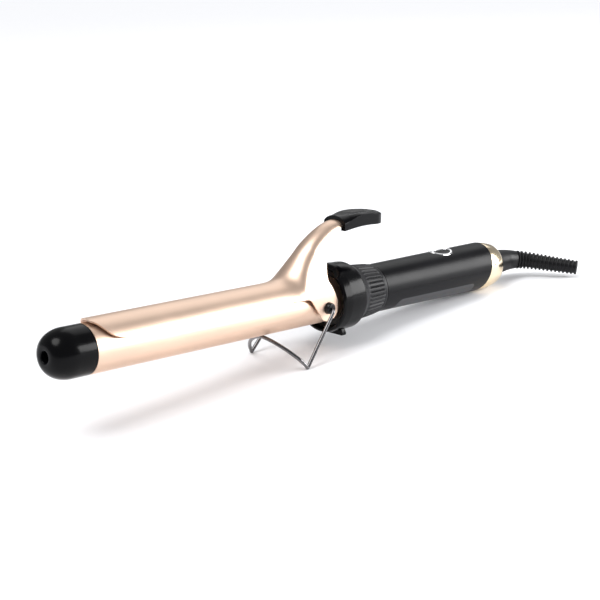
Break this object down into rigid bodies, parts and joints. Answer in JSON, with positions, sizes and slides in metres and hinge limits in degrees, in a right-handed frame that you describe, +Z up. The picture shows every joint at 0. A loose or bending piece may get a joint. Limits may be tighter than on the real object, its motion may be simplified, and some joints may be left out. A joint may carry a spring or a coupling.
{
  "type": "curling iron",
  "caption": "Curling iron with a rose gold barrel and sprung clamp, a wire rest stand, a ribbed temperature dial, a black handle and a swivel cord inlet.",
  "frame": {"origin": "on the supporting surface, under the middle of the bounding box of the resting iron", "axes": "+X along the barrel from the tip to the cord inlet (the tip is raised by the stand), +Y away from the side to which the cord inlet bends, +Z up"},
  "size_m": [0.3766, 0.0588, 0.0706],
  "materials": {
    "gloss_black": "gloss",
    "satin_black": "satin",
    "dial_black": "satin",
    "plate_grey": "matte",
    "dark_plastic": "matte",
    "rose_coating": "satin",
    "blade_coating": "satin",
    "gold_plate": "polished",
    "bright_chrome": "polished",
    "black_chrome": "gloss",
    "stud_black": "gloss",
    "steel": "brushed",
    "spring_steel": "satin",
    "spreader_alu": "as extruded",
    "ceramic": "matte",
    "copper": "satin",
    "contact_brass": "satin",
    "film": "satin",
    "sleeve_red": "matte",
    "wire_white": "matte",
    "bush_brown": "matte",
    "board_green": "satin",
    "component_black": "matte",
    "boot_rubber": "satin"
  },
  "bodies": {
    "iron_body": {"tip_cap": "gloss_black", "tip_screw": "steel", "tip_plate": "steel", "barrel": "rose_coating", "heat_spreader_upper": "spreader_alu", "heat_spreader_lower": "spreader_alu", "ptc_stones": "ceramic", "electrodes": "copper", "heater_wrap": "film", "thermal_fuse": "steel", "thermistor": "sleeve_red", "lead_wires": "wire_white", "pivot_bracket": "steel", "pivot_studs": "stud_black", "collar": "gloss_black", "barrel_bush": "bush_brown", "contact_board": "board_green", "handle_upper": "satin_black", "handle_lower": "satin_black", "rating_plate": "plate_grey", "shell_screws": "steel", "button_bezel": "bright_chrome", "tact_switch": "dark_plastic", "control_board": "board_green", "board_parts": "component_black", "end_ring": "gold_plate", "swivel_housing": "dark_plastic", "contact_brushes": "contact_brass"},
    "clamp_lever": {"clamp": "blade_coating", "clamp_spring": "spring_steel", "spring_rivet": "blade_coating", "thumb_rest": "gloss_black", "thumb_rest_base": "satin_black", "thumb_screw": "steel"},
    "stand": {"stand_wire": "black_chrome"},
    "dial": {"dial_ring": "dial_black", "dial_wiper": "contact_brass"},
    "button": {"power_button": "gloss_black"},
    "swivel": {"swivel_rotor": "dark_plastic", "slip_rings": "contact_brass", "strain_relief": "boot_rubber"}
  },
  "joints": [
    {"name": "clamp_hinge", "type": "hinge", "parent": "iron_body", "child": "clamp_lever", "pos_m": [-0.01472, 0.00694, 0.02632], "axis": [0, 1, 0], "range_deg": [0, 22], "stiffness_Nm_per_rad": 0.3, "springref_deg": -28.65, "deforming": ["clamp_spring"]},
    {"name": "stand_hinge", "type": "hinge", "parent": "iron_body", "child": "stand", "pos_m": [-0.01472, 0.00694, 0.02632], "axis": [0, 1, 0], "range_deg": [-80, 0]},
    {"name": "dial_turn", "type": "hinge", "parent": "iron_body", "child": "dial", "pos_m": [0.02222, 0.00694, 0.02395], "axis": [0.9959, 0, -0.0909], "range_deg": [-135, 135]},
    {"name": "power_press", "type": "slide", "parent": "iron_body", "child": "button", "axis": [0.0909, 0, 0.9959], "range_m": [-0.0004, 0], "stiffness_N_per_m": 1500, "springref_m": 0.0005},
    {"name": "cord_swivel", "type": "hinge", "parent": "iron_body", "child": "swivel", "pos_m": [0.13993, 0.00694, 0.01321], "axis": [0.9959, 0, -0.0909], "continuous": true}
  ]
}
